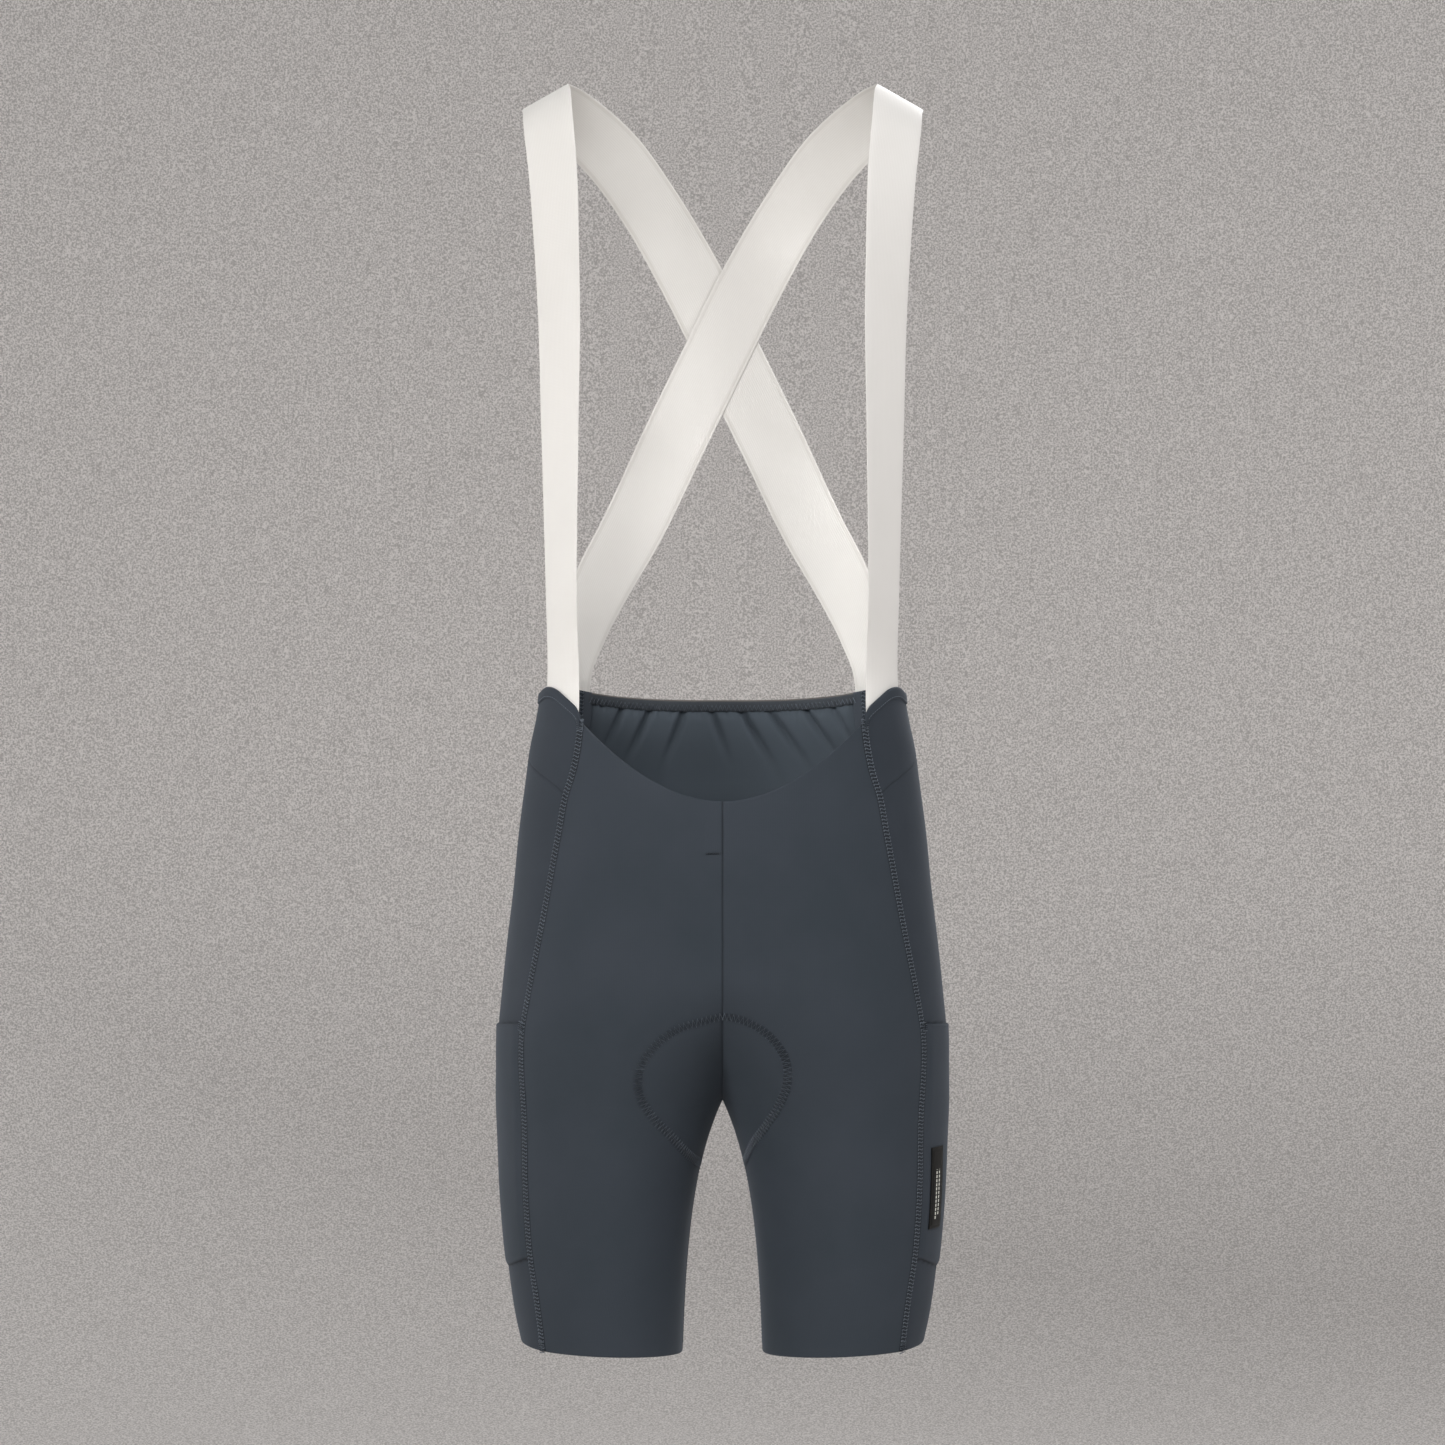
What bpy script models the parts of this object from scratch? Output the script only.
"""Bib cycling shorts with elastic shoulder straps that cross at the back, filled out as if worn.

+X is the wearer's left, -Y the front, +Z up. The origin lies midway between the highest points of the
straps, where the wearer's shoulders carry the garment. Sizes are in millimetres until a mesh is made.
"""

import math

import bmesh
import bpy
import numpy as np

MM = 0.001
COLLECTION_NAME = "bib_cycling_shorts"

# Cloth and seams
WALL = 1.2
SEAM_GAP = 0.3
HALF_GAP = SEAM_GAP / 2
TRIM_THICK = 1.0

# Heights
CROTCH_Z = -768.0
HEM_Z = -955.0
HEM_RISE = 4.5
SEAT_TOP_Z = -580.0
SCOOP_LOW_Z = -540.6
SCOOP_END_Z = -482.0
SCOOP_END_X = 105.5
SCOOP_POWER = 1.9
BACK_LOW_Z = -465.8
BACK_CORNER_RISE = 7.5
BACK_CORNER_X = 113.0
YOKE_SEAM_FRONT_Z = -538.0
YOKE_SEAM_RISE = 46.0
YOKE_SEAM_POWER = 0.72

# Leg openings: the centre and half width of the hem
HEM_CENTRE_X = 92.0
HEM_HALF_WIDTH = 61.0

# The space between the legs: half of it far down, and how fast it opens below the crotch
LEG_SPACE = 32.5
LEG_SPACE_DROP = 68.0

# How far above the crotch the cloth still dips in between the thighs. It starts to close as gently as
# the space below it opens, so that no crease runs round the thigh.
FRONT_DIP_HEIGHT = 100.0
BACK_DIP_HEIGHT = 125.0
DIP_START_HEIGHT = 178.0

# Level sections of the filled-out body. thigh_x is where the front and the back stand out furthest.
SECTION_COLUMNS = ("z", "half_width", "front", "back", "side_y", "thigh_x")
SECTIONS = (
    (-965.0, 150.5, -79.0, 69.0, -5.0, 91.0),
    (-950.0, 152.8, -80.0, 70.0, -5.0, 92.0),
    (-934.0, 156.4, -81.0, 71.0, -4.0, 93.0),
    (-892.0, 162.7, -84.0, 76.0, -2.0, 94.0),
    (-845.0, 166.8, -87.0, 82.0, 0.0, 93.0),
    (-796.0, 169.0, -91.0, 93.0, 2.0, 89.0),
    (-768.0, 170.2, -94.0, 102.0, 3.0, 85.0),
    (-747.0, 170.3, -98.0, 112.0, 4.0, 80.0),
    (-711.0, 170.0, -104.0, 122.0, 4.0, 70.0),
    (-690.0, 168.0, -106.5, 125.0, 3.0, 62.0),
    (-648.0, 163.6, -108.0, 120.0, 2.0, 50.0),
    (-610.0, 159.0, -109.0, 110.0, 1.0, 37.0),
    (-566.0, 154.7, -108.0, 100.0, 0.0, 26.0),
    (-530.0, 150.0, -104.0, 95.0, 0.0, 20.0),
    (-499.0, 145.7, -99.0, 93.0, 0.0, 15.0),
    (-482.0, 142.0, -97.0, 92.0, 0.0, 13.0),
    (-466.0, 139.3, -95.0, 91.0, 0.0, 12.0),
    (-445.0, 138.0, -94.0, 90.0, 0.0, 12.0),
)

# The seams between front, side and back panels
SEAM_COLUMNS = ("z", "front_x", "back_x")
SEAMS = (
    (-965.0, 133.0, 131.0),
    (-952.0, 134.0, 133.0),
    (-910.0, 139.0, 138.0),
    (-884.0, 143.0, 141.0),
    (-856.0, 145.5, 144.0),
    (-826.0, 147.0, 145.0),
    (-785.0, 147.5, 146.0),
    (-710.0, 149.0, 147.0),
    (-684.0, 144.5, 143.0),
    (-631.0, 134.0, 134.0),
    (-590.0, 126.5, 128.0),
    (-563.0, 121.5, 125.0),
    (-538.0, 117.0, 122.0),
    (-518.0, 111.0, 119.0),
    (-500.0, 107.5, 116.5),
    (-482.0, 105.5, 114.0),
    (-445.0, 105.0, 112.0),
)

# The upper edge of a side yoke, from the front seam (0) to the back seam (1)
YOKE_EDGE_COLUMNS = ("across", "z")
YOKE_EDGE = (
    (0.0, -479.5),
    (0.035, -472.5),
    (0.08, -468.0),
    (0.13, -464.0),
    (0.22, -458.2),
    (0.3, -456.6),
    (0.47, -460.5),
    (0.62, -460.5),
    (0.82, -456.5),
    (1.0, -458.3),
)

# Folds of the gathered back under its elastic: where each starts, how far it leans, how long it runs
GATHER_COLUMNS = ("x", "lean", "length", "height")
GATHERS = (
    (-93.5, -3.0, 12.0, 1.0),
    (-76.0, -14.0, 34.0, 1.5),
    (-64.0, -5.0, 11.0, 0.9),
    (-54.0, -18.0, 41.0, 1.6),
    (-45.0, -4.0, 9.0, 0.9),
    (-36.0, -4.0, 13.0, 1.0),
    (-28.0, -16.0, 45.0, 1.6),
    (-19.0, -3.0, 10.0, 0.9),
    (-11.0, 11.0, 33.0, 1.3),
    (0.0, 2.0, 12.0, 1.0),
    (10.0, 29.0, 48.0, 1.6),
    (20.0, 6.0, 10.0, 0.9),
    (32.0, 31.0, 45.0, 1.6),
    (41.0, 6.0, 12.0, 0.9),
    (49.0, 7.0, 9.0, 1.0),
    (61.0, 24.0, 38.0, 1.5),
    (72.0, 6.0, 13.0, 0.9),
    (83.0, 14.0, 27.0, 1.3),
    (92.0, 3.0, 8.0, 0.9),
)
GATHER_SPREAD = 2.9
GATHER_MOST = 1.7
GATHER_END_X = 105.0
GATHER_FADE = 12.0

# Elastic and bindings
WAIST_BAND_HIGH = 8.0
WAIST_BAND_IN = 3.5
WAIST_BAND_PAST_SEAM = 14.0
BINDING_HIGH = 8.0
BINDING_INSET = 0.6

# Pockets on the side panels
POCKET_THICK = 1.2
POCKET_BULGE = 0.4
POCKET_FROM_SEAM = 0.6
POCKET_COLUMNS = ("across", "top", "bottom")
POCKET_EDGES = (
    (0.0, -707.0, -882.0),
    (0.3, -710.0, -886.0),
    (0.5, -712.0, -893.0),
    (0.7, -711.0, -893.0),
    (1.0, -708.0, -890.0),
)

# Label on the left pocket
LABEL_TOP_Z = -803.0
LABEL_BOTTOM_Z = -867.0
LABEL_FROM_SEAM_X = 12.0
LABEL_WIDE = 24.0
LABEL_SEARCH = 60.0

# Shoulder straps. Each row is the middle of the strap and the line from its outer to its inner edge.
STRAP_THICK = 1.2
STRAP_COLUMNS = ("x", "y", "z", "across_x", "across_y", "across_z")
STRAP_FRONT = (
    (120.6, -54.0, -384.0, -24.5, -43.6, 0.0),
    (120.9, -58.0, -331.0, -26.3, -42.5, 0.0),
    (121.3, -63.0, -257.0, -29.4, -40.4, 0.0),
    (121.6, -67.0, -183.0, -32.3, -38.2, 0.0),
    (123.3, -69.0, -131.0, -34.3, -36.4, 0.0),
    (126.5, -64.0, -71.0, -37.0, -33.6, 2.0),
    (130.5, -50.0, -33.0, -37.5, -32.0, 9.0),
    (132.6, -28.0, -15.0, -37.0, -30.0, 14.0),
    (134.0, 0.0, -8.5, -36.0, -28.0, 17.0),
)
STRAP_BACK = (
    (123.5, 19.0, -14.0, -36.0, -23.0, 24.0),
    (109.2, 33.4, -23.8, -35.4, -16.7, 27.6),
    (84.5, 57.2, -45.2, -37.7, -4.3, 29.3),
    (57.8, 80.6, -79.6, -40.8, -1.3, 25.2),
    (22.5, 98.0, -139.0, -45.0, 0.0, 21.7),
    (-5.0, 107.0, -193.5, -45.0, 2.0, 21.7),
    (-37.0, 109.5, -259.0, -45.0, 1.0, 22.0),
    (-72.9, 103.5, -334.5, -42.7, -7.0, 22.0),
    (-93.5, 92.0, -373.0, -39.0, -16.0, 21.7),
    (-109.0, 70.5, -412.5, -33.5, -25.0, 15.0),
)
TUCK_CLEAR = 0.5
TUCK_DEEP = WALL + TUCK_CLEAR + STRAP_THICK / 2
FRONT_TUCK_Z = (-484.0, -470.0, -457.0)
FRONT_TUCK_FROM_SEAM = 1.5
FRONT_TUCK_WIDE = 48.0
BACK_TUCK_Z = (-455.0, -468.0, -482.0)
BACK_TUCK_PAST_SEAM = 16.0
BACK_TUCK_WIDE = 47.0

# Where the straps cross they lie on one curved sheet, one strap in front of the other
CROSSING_Z = -184.0
CROSSING_FLAT = 62.0
CROSSING_FADE = 48.0
CROSSING_APART = 2.0
BACK_ROUNDNESS = 0.0015
BACK_LINE_COLUMNS = ("z", "y")
BACK_LINE = (
    (-334.0, 111.5),
    (-259.0, 111.5),
    (-193.5, 107.0),
    (-139.0, 98.8),
    (-79.0, 85.6),
    (-45.0, 68.0),
)

# Colours of the cloth and trim, linear
NAVY_GREY = (0.052, 0.061, 0.075, 1.0)
DARK_GREY = (0.035, 0.041, 0.050, 1.0)
OFF_WHITE = (0.78, 0.76, 0.72, 1.0)
BLACK = (0.012, 0.012, 0.014, 1.0)

# Grid sizes: rows below and above the crotch, and columns round the body
BODY_ROWS = {"below": 10, "above": 11}
YOKE_ROWS = 4
FRONT_COLUMNS = 12
SEAT_COLUMNS = 11
SIDE_COLUMNS = 6
YOKE_COLUMNS = 12
BACK_UPPER_COLUMNS = 64
POCKET_GRID = {"rows": 12, "columns": 6}
BAND_COLUMNS = 36
BINDING_COLUMNS = 16
LABEL_GRID = {"rows": 6, "columns": 3}
STRAP_GRID = {"step": 20.0, "columns": 4}

RING_STEPS = 60
ROUND_STEPS = 480
CROTCH_CROWDING = 1.5
FIT_PASSES = 6


def column(table, columns, name):
    return np.array([row[columns.index(name)] for row in table], float)


def curve_through(stations, values, at):
    """A smooth cubic through the values at the stations, which rise. It is held level past the ends."""
    stations = np.asarray(stations, float)
    values = np.asarray(values, float)
    slopes = np.gradient(values, stations, axis=0)
    at = np.clip(np.asarray(at, float), stations[0], stations[-1])
    left = np.clip(np.searchsorted(stations, at) - 1, 0, len(stations) - 2)
    step = stations[left + 1] - stations[left]
    t = (at - stations[left]) / step
    if values.ndim > 1:
        step = step[:, None]
        t = t[:, None]
    return (
        (1 + 2 * t) * (1 - t) ** 2 * values[left]
        + t * (1 - t) ** 2 * step * slopes[left]
        + t * t * (3 - 2 * t) * values[left + 1]
        + t * t * (t - 1) * step * slopes[left + 1]
    )


def section(name, z):
    return curve_through(
        column(SECTIONS, SECTION_COLUMNS, "z"), column(SECTIONS, SECTION_COLUMNS, name), z
    )


def seam_x(name, z):
    return curve_through(column(SEAMS, SEAM_COLUMNS, "z"), column(SEAMS, SEAM_COLUMNS, name), z)


def inner_x(z):
    """The innermost point of a half: the centre seam, and the inside of the leg below the crotch."""
    below = np.maximum(CROTCH_Z - np.asarray(z, float), 0)
    return HALF_GAP + LEG_SPACE * (1 - np.exp(-below / LEG_SPACE_DROP))


def dip(z, height):
    """How deep the cloth dips between the thighs: 1 at the crotch and below it, 0 at the dip's height."""
    rise = np.clip((np.asarray(z, float) - CROTCH_Z) / height, 0, 1)
    straight = height / DIP_START_HEIGHT
    return 1 - straight * rise - (1 - straight) * rise**2


def front_dip(z):
    return dip(z, FRONT_DIP_HEIGHT)


def back_dip(z):
    return dip(z, BACK_DIP_HEIGHT)


def half_arc(z, sign, depth, dips):
    """The front (sign -1) or back (sign 1) of half a section, from the centre to the side."""
    turn = np.linspace(0, math.pi / 2, RING_STEPS)
    outwards = 1 - np.cos(turn)
    side_y = section("side_y", z)
    thigh_x = section("thigh_x", z)
    near_x = inner_x(z) + (thigh_x - inner_x(z)) * outwards
    near_y = side_y + sign * depth * np.sqrt(1 - (dips * (1 - outwards)) ** 2)
    far_x = thigh_x + (section("half_width", z) - thigh_x) * np.sin(turn)
    far_y = side_y + sign * depth * np.cos(turn)
    return np.append(near_x, far_x[1:]), np.append(near_y, far_y[1:])


class HalfBody:
    """The outer face of one half of the body, read at a height and a distance round from the centre front."""

    def __init__(self):
        lowest = math.ceil(SECTIONS[0][0])
        highest = math.floor(SECTIONS[-1][0])
        self.heights = np.arange(lowest, highest + 1.0)
        self.round = np.linspace(0, 1, ROUND_STEPS + 1)
        self.x = np.zeros((len(self.heights), ROUND_STEPS + 1))
        self.y = np.zeros_like(self.x)
        self.length = np.zeros(len(self.heights))
        self.seam = {"front_x": np.zeros(len(self.heights)), "back_x": np.zeros(len(self.heights))}
        for i, z in enumerate(self.heights):
            self.read_section(i, z)

    def read_section(self, i, z):
        side_y = section("side_y", z)
        front_x, front_y = half_arc(z, -1, side_y - section("front", z), front_dip(z))
        back_x, back_y = half_arc(z, 1, section("back", z) - side_y, back_dip(z))
        x = np.append(front_x, back_x[-2::-1])
        y = np.append(front_y, back_y[-2::-1])
        along = np.append(0, np.cumsum(np.hypot(np.diff(x), np.diff(y))))
        self.length[i] = along[-1]
        self.x[i] = np.interp(self.round * along[-1], along, x)
        self.y[i] = np.interp(self.round * along[-1], along, y)
        middle = len(front_x)
        self.seam["front_x"][i] = np.interp(seam_x("front_x", z), x[:middle], along[:middle])
        backwards = slice(None, middle - 2, -1)
        self.seam["back_x"][i] = np.interp(seam_x("back_x", z), x[backwards], along[backwards])

    def full_length(self, z):
        return np.interp(z, self.heights, self.length)

    def seam_at(self, name, z):
        return np.interp(z, self.heights, self.seam[name])

    def point(self, z, along):
        z = np.clip(z, self.heights[0], self.heights[-1])
        row = np.clip(z - self.heights[0], 0, len(self.heights) - 1.001)
        place = np.clip(along / self.full_length(z), 0, 1) * ROUND_STEPS
        place = np.minimum(place, ROUND_STEPS - 0.001)
        r, p = row.astype(int), place.astype(int)
        fr, fp = row - r, place - p
        found = []
        for grid in (self.x, self.y):
            low = grid[r, p] * (1 - fp) + grid[r, p + 1] * fp
            high = grid[r + 1, p] * (1 - fp) + grid[r + 1, p + 1] * fp
            found.append(low * (1 - fr) + high * fr)
        return np.stack([found[0], found[1], z], axis=-1)


def gauge(x, y, z):
    """Below zero inside the filled-out half body and above zero outside it."""
    side_y = section("side_y", z)
    thigh_x = section("thigh_x", z)
    in_front = y < side_y
    depth = np.where(in_front, side_y - section("front", z), section("back", z) - side_y)
    dips = np.where(in_front, front_dip(z), back_dip(z))
    inner = (thigh_x - x) * dips / (thigh_x - inner_x(z))
    outer = (x - thigh_x) / (section("half_width", z) - thigh_x)
    return np.where(x < thigh_x, inner, outer) ** 2 + ((y - side_y) / depth) ** 2 - 1


def outward(points):
    """Unit normals of the body at these points, the same for every piece: walls stay parallel at seams."""
    x, y, z = (points[..., k].ravel() for k in range(3))
    reach = 0.5
    slopes = np.stack(
        [
            gauge(x + reach, y, z) - gauge(x - reach, y, z),
            gauge(x, y + reach, z) - gauge(x, y - reach, z),
            gauge(x, y, z + reach) - gauge(x, y, z - reach),
        ],
        axis=-1,
    )
    slopes /= np.linalg.norm(slopes, axis=-1, keepdims=True)
    return slopes.reshape(points.shape)


def hem_z(x):
    return HEM_Z + HEM_RISE * (x - HEM_CENTRE_X) / HEM_HALF_WIDTH


def scoop_z(x):
    rise = np.clip(np.abs(x) / SCOOP_END_X, 0, 1.1) ** SCOOP_POWER
    return SCOOP_LOW_Z + (SCOOP_END_Z - SCOOP_LOW_Z) * rise


def back_edge_z(x):
    return BACK_LOW_Z + BACK_CORNER_RISE * (np.abs(x) / BACK_CORNER_X) ** 3


def yoke_seam_z(across):
    return YOKE_SEAM_FRONT_Z + YOKE_SEAM_RISE * across**YOKE_SEAM_POWER


def yoke_edge_z(across):
    return curve_through(
        column(YOKE_EDGE, YOKE_EDGE_COLUMNS, "across"), column(YOKE_EDGE, YOKE_EDGE_COLUMNS, "z"), across
    )


def pocket_edge_z(name, across):
    return curve_through(
        column(POCKET_EDGES, POCKET_COLUMNS, "across"), column(POCKET_EDGES, POCKET_COLUMNS, name), across
    )


def body_rows():
    """Row places from -1 at the hem through 0 at the crotch to 1 at the yoke seam, closest at the crotch."""
    down = -(np.linspace(1, 0, BODY_ROWS["below"] + 1) ** CROTCH_CROWDING)
    up = np.linspace(0, 1, BODY_ROWS["above"] + 1) ** CROTCH_CROWDING
    return np.append(down[:-1], up)


def below_crotch(row, x):
    return CROTCH_Z - row * (hem_z(x) - CROTCH_Z)


def body_panel(body, rows, columns, start, end, height):
    """Points of a panel. start and end give its side edges, and height gives z from (row, across, x)."""
    across = np.tile(np.linspace(0, 1, columns + 1), (len(rows), 1))
    row = np.tile(np.asarray(rows)[:, None], (1, columns + 1))
    z = height(row, across, np.full_like(across, HEM_CENTRE_X))
    for _ in range(FIT_PASSES):
        along = start(z) + (end(z) - start(z)) * across
        x = body.point(z, along)[..., 0]
        z = height(row, across, x)
    along = start(z) + (end(z) - start(z)) * across
    return body.point(z, along)


def mirrored(points):
    return points * np.array([-1.0, 1.0, 1.0])


def wall_mesh(name, outer, inner):
    """A closed wall between two grids of points: both faces and a rim."""
    rows, columns = outer.shape[:2]
    points = np.concatenate([outer.reshape(-1, 3), inner.reshape(-1, 3)]) * MM
    back = rows * columns
    faces = []
    for r in range(rows - 1):
        for c in range(columns - 1):
            a = r * columns + c
            faces.append((a, a + 1, a + columns + 1, a + columns))
            faces.append((back + a, back + a + columns, back + a + columns + 1, back + a + 1))
    rim = list(range(columns))
    rim += [r * columns + columns - 1 for r in range(1, rows)]
    rim += [(rows - 1) * columns + c for c in range(columns - 2, -1, -1)]
    rim += [r * columns for r in range(rows - 2, 0, -1)]
    for a, b in zip(rim, rim[1:] + rim[:1]):
        faces.append((b, a, back + a, back + b))
    if enclosed_volume(points, faces) < 0:
        faces = [face[::-1] for face in faces]
    mesh = bpy.data.meshes.new(name)
    mesh.from_pydata(points.tolist(), [], faces)
    cut = bmesh.new()
    cut.from_mesh(mesh)
    bmesh.ops.triangulate(cut, faces=cut.faces[:], quad_method="SHORT_EDGE")
    cut.to_mesh(mesh)
    cut.free()
    return mesh


def enclosed_volume(points, faces):
    quads = points[np.array(faces)]
    first = np.cross(quads[:, 1], quads[:, 2])
    second = np.cross(quads[:, 2], quads[:, 3])
    return float((quads[:, 0] * (first + second)).sum()) / 6


def cloth_material(name, colour, roughness):
    material = bpy.data.materials.new(name)
    material.use_nodes = True
    shader = material.node_tree.nodes["Principled BSDF"]
    shader.inputs["Base Color"].default_value = colour
    shader.inputs["Roughness"].default_value = roughness
    shader.inputs["Metallic"].default_value = 0.0
    material.diffuse_color = colour
    return material


def add_piece(collection, name, outer, inner, colour, roughness=0.85):
    piece = bpy.data.objects.new(name, wall_mesh(name, outer, inner))
    piece.data.materials.append(cloth_material(name + "_cloth", colour, roughness))
    piece.data.shade_smooth()
    piece.data.set_sharp_from_angle(angle=math.radians(50))
    collection.objects.link(piece)
    return piece


def add_wall(collection, name, points, side, colour, out=0.0, thick=WALL):
    """A piece with its outer face this far out of the body's own face."""
    normals = outward(points)
    out = np.asarray(out, float)
    if out.ndim:
        out = out[..., None]
    outer = points + normals * out
    inner = points + normals * (out - thick)
    if side < 0:
        outer = mirrored(outer)
        inner = mirrored(inner)
    return add_piece(collection, name, outer, inner, colour)


def front_panel(body):
    """Its rows meet those of the side panel up to the yoke seam, and those of the yoke above it."""
    rows = np.append(body_rows(), 1 + np.linspace(0, 1, YOKE_ROWS + 1)[1:])

    def height(row, across, x):
        at_seam = np.where(
            row < 1,
            CROTCH_Z + row * (YOKE_SEAM_FRONT_Z - CROTCH_Z),
            YOKE_SEAM_FRONT_Z + (row - 1) * (SCOOP_END_Z - YOKE_SEAM_FRONT_Z),
        )
        squeeze = (scoop_z(x) - CROTCH_Z) / (SCOOP_END_Z - CROTCH_Z)
        return np.where(row < 0, below_crotch(row, x), CROTCH_Z + (at_seam - CROTCH_Z) * squeeze)

    return body_panel(
        body,
        rows,
        FRONT_COLUMNS,
        lambda z: HALF_GAP * front_dip(z),
        lambda z: body.seam_at("front_x", z) - HALF_GAP,
        height,
    )


def seat_panel(body):
    """Its rows meet those of the side panel up to the seam under the gathered back."""
    side_height = yoke_seam_z(1.0) - CROTCH_Z
    top = (SEAT_TOP_Z - HALF_GAP - CROTCH_Z) / side_height
    rows = body_rows()
    rows = np.append(rows[rows < top - 0.03], top)

    def height(row, across, x):
        return np.where(row < 0, below_crotch(row, x), CROTCH_Z + row * side_height)

    return body_panel(
        body,
        rows,
        SEAT_COLUMNS,
        lambda z: body.full_length(z) - HALF_GAP * back_dip(z),
        lambda z: body.seam_at("back_x", z) + HALF_GAP,
        height,
    )


def side_start(body):
    return lambda z: body.seam_at("front_x", z) + HALF_GAP


def side_end(body):
    return lambda z: body.seam_at("back_x", z) - HALF_GAP


def side_panel(body):
    def height(row, across, x):
        top = yoke_seam_z(across) - HALF_GAP
        return np.where(row < 0, below_crotch(row, x), CROTCH_Z + row * (top - CROTCH_Z))

    return body_panel(body, body_rows(), SIDE_COLUMNS, side_start(body), side_end(body), height)


def yoke_panel(body):
    def height(row, across, x):
        bottom = yoke_seam_z(across) + HALF_GAP
        return bottom + row * (yoke_edge_z(across) - bottom)

    rows = np.linspace(0, 1, YOKE_ROWS + 1)
    return body_panel(body, rows, YOKE_COLUMNS, side_start(body), side_end(body), height)


def binding_strip(body):
    def height(row, across, x):
        return yoke_edge_z(across) - row * BINDING_HIGH

    return body_panel(
        body,
        (0.0, 1.0),
        BINDING_COLUMNS,
        lambda z: body.seam_at("front_x", z) + BINDING_INSET,
        lambda z: body.seam_at("back_x", z) - BINDING_INSET,
        height,
    )


def pocket_panel(body):
    def height(row, across, x):
        top = pocket_edge_z("top", across)
        return top + row * (pocket_edge_z("bottom", across) - top)

    rows = np.linspace(0, 1, POCKET_GRID["rows"] + 1)
    return body_panel(
        body,
        rows,
        POCKET_GRID["columns"],
        lambda z: body.seam_at("front_x", z) + POCKET_FROM_SEAM,
        lambda z: body.seam_at("back_x", z) - POCKET_FROM_SEAM,
        height,
    )


def pocket_bulge(shape):
    """How far each pocket point stands out past the flat patch: most in the middle, none at its edges."""
    rows, columns = shape[:2]
    down = np.sin(np.pi * np.linspace(0, 1, rows))[:, None]
    over = np.sin(np.pi * np.linspace(0, 1, columns))[None, :]
    return POCKET_BULGE * down * over


def label_patch(body):
    """The label runs down beside the front seam, at the same distance as seen from the front."""

    def start(z):
        along = body.seam_at("front_x", z)[..., None] + np.linspace(0, LABEL_SEARCH, 121)
        x = body.point(np.repeat(z[..., None], along.shape[-1], axis=-1), along)[..., 0]
        edge_x = seam_x("front_x", z) + LABEL_FROM_SEAM_X
        first = np.argmax(x >= edge_x[..., None], axis=-1)
        return np.take_along_axis(along, first[..., None], axis=-1)[..., 0]

    def height(row, across, x):
        return LABEL_TOP_Z + row * (LABEL_BOTTOM_Z - LABEL_TOP_Z)

    rows = np.linspace(0, 1, LABEL_GRID["rows"] + 1)
    return body_panel(
        body, rows, LABEL_GRID["columns"], start, lambda z: start(z) + LABEL_WIDE, height
    )


def across_the_back(body, rows, columns, past_seam, height):
    """Points over the whole back, from the right side seam to the left one. height gives z from (row, x)."""
    reach = np.tile(np.linspace(-1, 1, columns + 1), (len(rows), 1))
    row = np.tile(np.asarray(rows)[:, None], (1, columns + 1))
    side = np.where(reach < 0, -1.0, 1.0)
    z = height(row, np.zeros_like(reach))
    for _ in range(FIT_PASSES + 1):
        full = body.full_length(z)
        along = full - (full - body.seam_at("back_x", z) + past_seam) * np.abs(reach)
        points = body.point(z, along)
        z = height(row, points[..., 0])
    normals = outward(points)
    points[..., 0] -= HALF_GAP * (1 - np.abs(reach))
    points[..., 0] *= side
    normals[..., 0] *= side
    normals[..., 0] *= np.where(np.abs(reach) < 1e-9, 0.0, 1.0)
    return points, normals


def gathering(points):
    """How far the gathers push the cloth inwards, at each point."""
    x = points[..., 0]
    below = back_edge_z(x) - points[..., 2]
    pushed = np.zeros_like(x)
    for start, lean, length, high in GATHERS:
        run = below / length
        middle = start + lean * run
        fade = np.clip(1 - run, 0, 1)
        pushed += high * fade * np.exp(-(((x - middle) / GATHER_SPREAD) ** 2))
    sides = np.clip((GATHER_END_X - np.abs(x)) / GATHER_FADE, 0, 1)
    return np.minimum(pushed, GATHER_MOST) * sides


def back_upper_rows():
    """Row places from the seat seam (0) to the elastic (1), level with the rows of the side and the yoke."""
    seam_top = yoke_seam_z(1.0)
    sides = CROTCH_Z + body_rows() * (seam_top - CROTCH_Z)
    yoke = np.linspace(seam_top, yoke_edge_z(1.0), YOKE_ROWS + 1)[1:]
    levels = np.concatenate([[SEAT_TOP_Z], sides[sides > SEAT_TOP_Z + 8], yoke])
    return (levels - SEAT_TOP_Z) / (levels[-1] - SEAT_TOP_Z)


def back_upper(body, collection):
    def height(row, x):
        bottom = SEAT_TOP_Z + HALF_GAP
        return bottom + row * (back_edge_z(x) - bottom)

    points, normals = across_the_back(body, back_upper_rows(), BACK_UPPER_COLUMNS, -HALF_GAP, height)
    points = points - normals * gathering(points)[..., None]
    return add_piece(collection, "back_upper", points, points - normals * WALL, NAVY_GREY)


def waist_band(body, collection):
    def height(row, x):
        return back_edge_z(np.minimum(np.abs(x), BACK_CORNER_X)) - row * WAIST_BAND_HIGH

    points, normals = across_the_back(body, (0.0, 1.0), BAND_COLUMNS, WAIST_BAND_PAST_SEAM, height)
    outer = points - normals * WAIST_BAND_IN
    return add_piece(collection, "waist_band", outer, outer - normals * TRIM_THICK, DARK_GREY)


def tuck_rows(body, heights, start, wide, columns):
    """Rows of a strap end inside the body wall, from its inner edge to its outer edge."""
    found = []
    for z in heights:
        level = np.full(columns + 1, z)
        along = start(level) + wide * np.linspace(0, 1, columns + 1)
        points = body.point(level, along)
        found.append(points - outward(points) * TUCK_DEEP)
    return found


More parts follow.
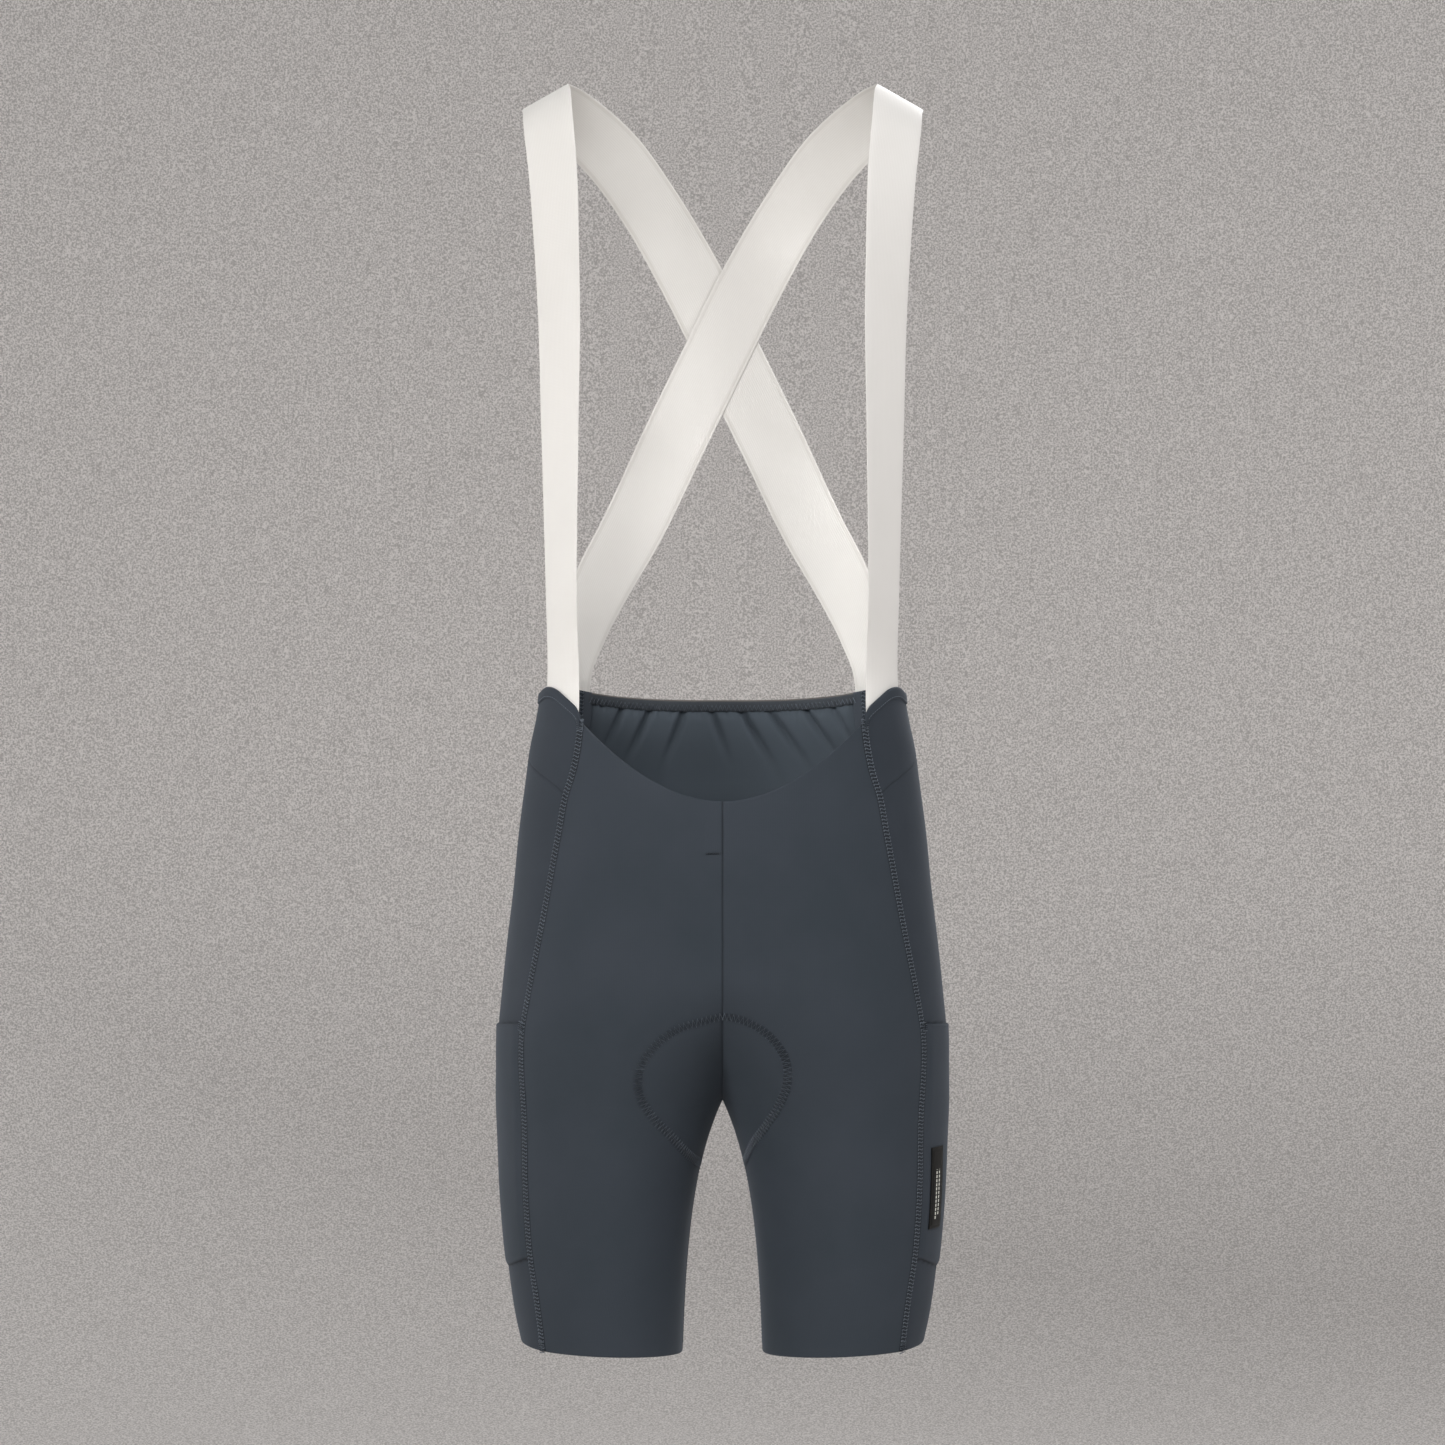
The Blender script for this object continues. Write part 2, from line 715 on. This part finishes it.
def free_rows(stations, columns):
    """Rows of a strap where it runs free, each straight across, from its inner edge to its outer edge."""
    found = []
    for x, y, z, across_x, across_y, across_z in stations:
        places = np.linspace(0.5, -0.5, columns + 1)[:, None]
        found.append(np.array([x, y, z]) + places * np.array([across_x, across_y, across_z]))
    return found


def onto_the_crossing(points, layer):
    """Brings a strap onto the sheet that both share where they cross. layer is -1 in front, 1 behind."""
    z = points[..., 2]
    line_y = curve_through(
        column(BACK_LINE, BACK_LINE_COLUMNS, "z"), column(BACK_LINE, BACK_LINE_COLUMNS, "y"), z.ravel()
    ).reshape(z.shape)
    sheet = line_y - BACK_ROUNDNESS * points[..., 0] ** 2 + layer * CROSSING_APART / 2
    away = np.clip((np.abs(z - CROSSING_Z) - CROSSING_FLAT) / CROSSING_FADE, 0, 1)
    share = (1 - away * away * (3 - 2 * away)) * (points[..., 1] > 40)
    points[..., 1] += share * (sheet - points[..., 1])
    return points


def strap_middle(body, layer):
    """The middle sheet of the strap that starts at the wearer's left front, before any mirroring."""
    columns = STRAP_GRID["columns"]
    front_start = lambda z: body.seam_at("front_x", z) + FRONT_TUCK_FROM_SEAM
    back_start = lambda z: body.seam_at("back_x", z) + BACK_TUCK_PAST_SEAM
    rows = tuck_rows(body, FRONT_TUCK_Z, front_start, FRONT_TUCK_WIDE, columns)
    rows += free_rows(STRAP_FRONT + STRAP_BACK, columns)
    ends = tuck_rows(body, BACK_TUCK_Z, back_start, -BACK_TUCK_WIDE, columns)
    rows += [mirrored(end)[::-1] for end in ends]
    rows = np.array(rows)
    middle = rows[:, columns // 2]
    along = np.append(0, np.cumsum(np.linalg.norm(np.diff(middle, axis=0), axis=1)))
    first = len(FRONT_TUCK_Z) - 1
    last = len(rows) - len(BACK_TUCK_Z)
    steps = math.ceil((along[last] - along[first]) / STRAP_GRID["step"])
    free = np.linspace(along[first], along[last], steps + 1)
    at = np.concatenate([along[:first], free, along[last + 1 :]])
    sheet = np.stack([curve_through(along, rows[:, c], at) for c in range(columns + 1)], axis=1)
    return onto_the_crossing(sheet, layer)


def add_strap(body, collection, name, side):
    sheet = strap_middle(body, -side)
    down = np.gradient(sheet, axis=0)
    over = np.gradient(sheet, axis=1)
    normals = np.cross(down, over)
    normals /= np.linalg.norm(normals, axis=-1, keepdims=True)
    outer = sheet + normals * STRAP_THICK / 2
    inner = sheet - normals * STRAP_THICK / 2
    if side < 0:
        outer = mirrored(outer)
        inner = mirrored(inner)
    return add_piece(collection, name, outer, inner, OFF_WHITE, roughness=0.7)


def clear_scene():
    for thing in list(bpy.data.objects):
        bpy.data.objects.remove(thing, do_unlink=True)


def build():
    clear_scene()
    collection = bpy.data.collections.new(COLLECTION_NAME)
    bpy.context.scene.collection.children.link(collection)
    body = HalfBody()
    pocket = pocket_panel(body)
    pocket_out = SEAM_GAP + POCKET_THICK + pocket_bulge(pocket.shape)
    label_out = SEAM_GAP + POCKET_THICK + POCKET_BULGE + SEAM_GAP + TRIM_THICK
    for name, side in (("left", 1), ("right", -1)):
        add_wall(collection, "front_" + name, front_panel(body), side, NAVY_GREY)
        add_wall(collection, "seat_" + name, seat_panel(body), side, NAVY_GREY)
        add_wall(collection, "side_" + name, side_panel(body), side, DARK_GREY)
        add_wall(collection, "side_yoke_" + name, yoke_panel(body), side, DARK_GREY)
        add_wall(
            collection,
            "top_binding_" + name,
            binding_strip(body),
            side,
            DARK_GREY,
            SEAM_GAP + TRIM_THICK,
            TRIM_THICK,
        )
        add_wall(collection, "pocket_" + name, pocket, side, NAVY_GREY, pocket_out, POCKET_THICK)
        add_strap(body, collection, "strap_" + name, side)
    add_wall(collection, "label", label_patch(body), 1, BLACK, label_out, TRIM_THICK)
    back_upper(body, collection)
    waist_band(body, collection)


build()
